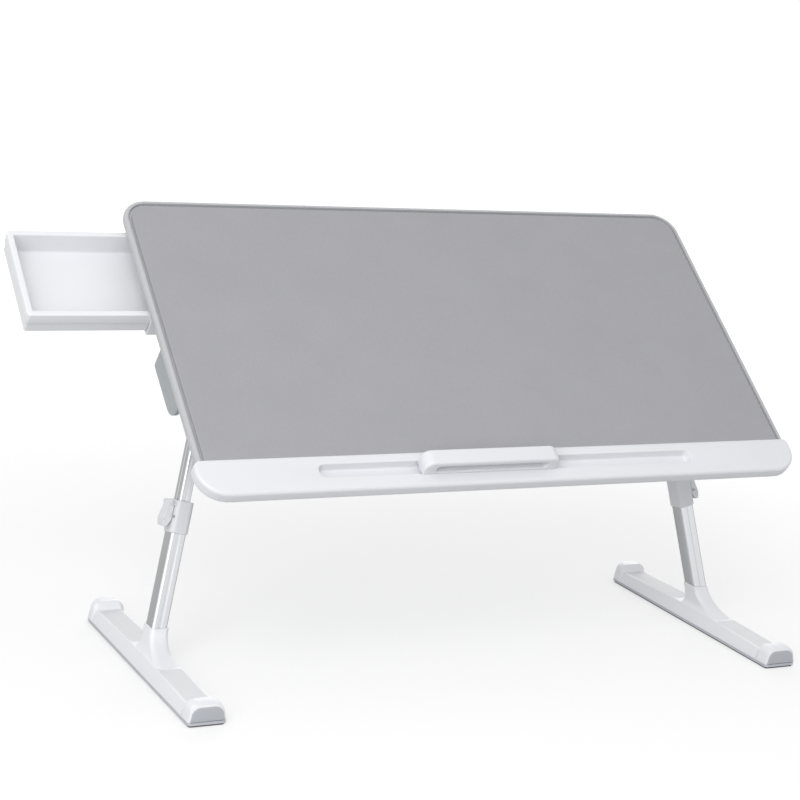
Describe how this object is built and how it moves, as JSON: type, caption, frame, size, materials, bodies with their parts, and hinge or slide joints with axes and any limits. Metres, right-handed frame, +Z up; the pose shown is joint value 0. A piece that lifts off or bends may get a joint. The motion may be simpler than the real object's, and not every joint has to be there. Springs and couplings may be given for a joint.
{
  "type": "laptop stand with drawer",
  "caption": "Folding lap desk with a tilting leather-topped panel, a ledge with sliding laptop stopper, telescopic splayed legs on long feet, and a side drawer under the panel.",
  "frame": {"origin": "on the floor, in the middle of the bounding box: halfway between the drawn-out drawer's end and the right foot's outer side, and halfway between the feet's front ends and the panel's back edge", "axes": "+X to the user's right along the desk's width, +Y away from the user along the feet, +Z up. Seen from +Y the drawer is on the right; the front ledge faces -Y"},
  "size_m": [0.7172, 0.2831, 0.3975],
  "materials": {
    "leather_sheet": "fine matt grain",
    "board": "matt laminated fibreboard",
    "rim_plastic": "satin moulded",
    "white_plastic": "satin moulded",
    "grey_plastic": "satin moulded",
    "hinge_plastic": "glass-filled, satin",
    "collar_plastic": "satin moulded",
    "base_plastic": "satin moulded",
    "tube_aluminium": "anodised, fine drawn lines",
    "bright_steel": "bright zinc",
    "washer_steel": "hardened, plain",
    "sole_rubber": "matt"
  },
  "bodies": {
    "desktop": {"board_core": "board", "panel_cover": "leather_sheet", "edge_rim": "rim_plastic", "front_ledge": "white_plastic", "drawer_housing": "white_plastic", "housing_screws": "bright_steel", "bracket_screws": "bright_steel", "hinge_bracket_left": "hinge_plastic", "fold_pin_left": "bright_steel", "paddle_pin_left": "bright_steel", "hinge_bracket_right": "hinge_plastic", "fold_pin_right": "bright_steel", "paddle_pin_right": "bright_steel"},
    "drawer": {"drawer_tray": "white_plastic"},
    "stopper": {"laptop_stopper": "white_plastic"},
    "paddle_left": {"release_paddle_left": "grey_plastic"},
    "fold_left": {"fold_knuckle_left": "hinge_plastic", "tilt_bolt_left": "bright_steel", "tilt_nut_left": "bright_steel", "tilt_washers_left": "washer_steel"},
    "leg_left": {"leg_head_left": "hinge_plastic", "inner_tube_left": "tube_aluminium", "tube_glide_left": "grey_plastic"},
    "shank_left": {"outer_tube_left": "tube_aluminium", "clamp_collar_left": "collar_plastic", "lever_pin_left": "bright_steel", "foot_shell_left": "white_plastic", "foot_base_left": "base_plastic", "rubber_sole_left": "sole_rubber", "foot_end_cap_left": "grey_plastic"},
    "lever_left": {"clamp_lever_left": "collar_plastic"},
    "paddle_right": {"release_paddle_right": "grey_plastic"},
    "fold_right": {"fold_knuckle_right": "hinge_plastic", "tilt_bolt_right": "bright_steel", "tilt_nut_right": "bright_steel", "tilt_washers_right": "washer_steel"},
    "leg_right": {"leg_head_right": "hinge_plastic", "inner_tube_right": "tube_aluminium", "tube_glide_right": "grey_plastic"},
    "shank_right": {"outer_tube_right": "tube_aluminium", "clamp_collar_right": "collar_plastic", "lever_pin_right": "bright_steel", "foot_shell_right": "white_plastic", "foot_base_right": "base_plastic", "rubber_sole_right": "sole_rubber", "foot_end_cap_right": "grey_plastic"},
    "lever_right": {"clamp_lever_right": "collar_plastic"}
  },
  "joints": [
    {"name": "drawer_slide", "type": "slide", "parent": "desktop", "child": "drawer", "axis": [-1, 0, 0], "range_m": [-0.107, 0.072]},
    {"name": "stopper_slide", "type": "slide", "parent": "desktop", "child": "stopper", "axis": [1, 0, 0], "range_m": [-0.093, 0.147]},
    {"name": "paddle_left_press", "type": "hinge", "parent": "desktop", "child": "paddle_left", "pos_m": [-0.23513, 0.00314, 0.26598], "axis": [0, 0.7826, 0.6225], "range_deg": [-8, 0], "stiffness_Nm_per_rad": 0.3},
    {"name": "fold_left_hinge", "type": "hinge", "parent": "desktop", "child": "fold_left", "pos_m": [-0.16535, 0.03932, 0.25182], "axis": [0, 0.7826, 0.6225], "range_deg": [-100, 0]},
    {"name": "tilt_left_hinge", "type": "hinge", "parent": "fold_left", "child": "leg_left", "pos_m": [-0.19835, 0.03932, 0.25182], "axis": [1, 0, 0], "range_deg": [0, 38.5]},
    {"name": "height_left_slide", "type": "slide", "parent": "leg_left", "child": "shank_left", "axis": [-0.213, -0.1697, -0.9622], "range_m": [-0.075, 0.012]},
    {"name": "lever_left_cam", "type": "hinge", "parent": "shank_left", "child": "lever_left", "pos_m": [-0.23007, 0.02076, 0.14657], "axis": [0, 0.9848, -0.1736], "range_deg": [0, 90]},
    {"name": "paddle_right_press", "type": "hinge", "parent": "desktop", "child": "paddle_right", "pos_m": [0.32987, 0.00314, 0.26598], "axis": [0, 0.7826, 0.6225], "range_deg": [0, 8], "stiffness_Nm_per_rad": 0.3},
    {"name": "fold_right_hinge", "type": "hinge", "parent": "desktop", "child": "fold_right", "pos_m": [0.2601, 0.03932, 0.25182], "axis": [0, 0.7826, 0.6225], "range_deg": [0, 100]},
    {"name": "tilt_right_hinge", "type": "hinge", "parent": "fold_right", "child": "leg_right", "pos_m": [0.2931, 0.03932, 0.25182], "axis": [1, 0, 0], "range_deg": [0, 38.5]},
    {"name": "height_right_slide", "type": "slide", "parent": "leg_right", "child": "shank_right", "axis": [0.213, -0.1697, -0.9622], "range_m": [-0.075, 0.012]},
    {"name": "lever_right_cam", "type": "hinge", "parent": "shank_right", "child": "lever_right", "pos_m": [0.32482, 0.02076, 0.14657], "axis": [0, 0.9848, -0.1736], "range_deg": [-90, 0]}
  ],
  "couplings": [
    {"joint": "tilt_right_hinge", "follows": "tilt_left_hinge", "ratio": 1}
  ]
}
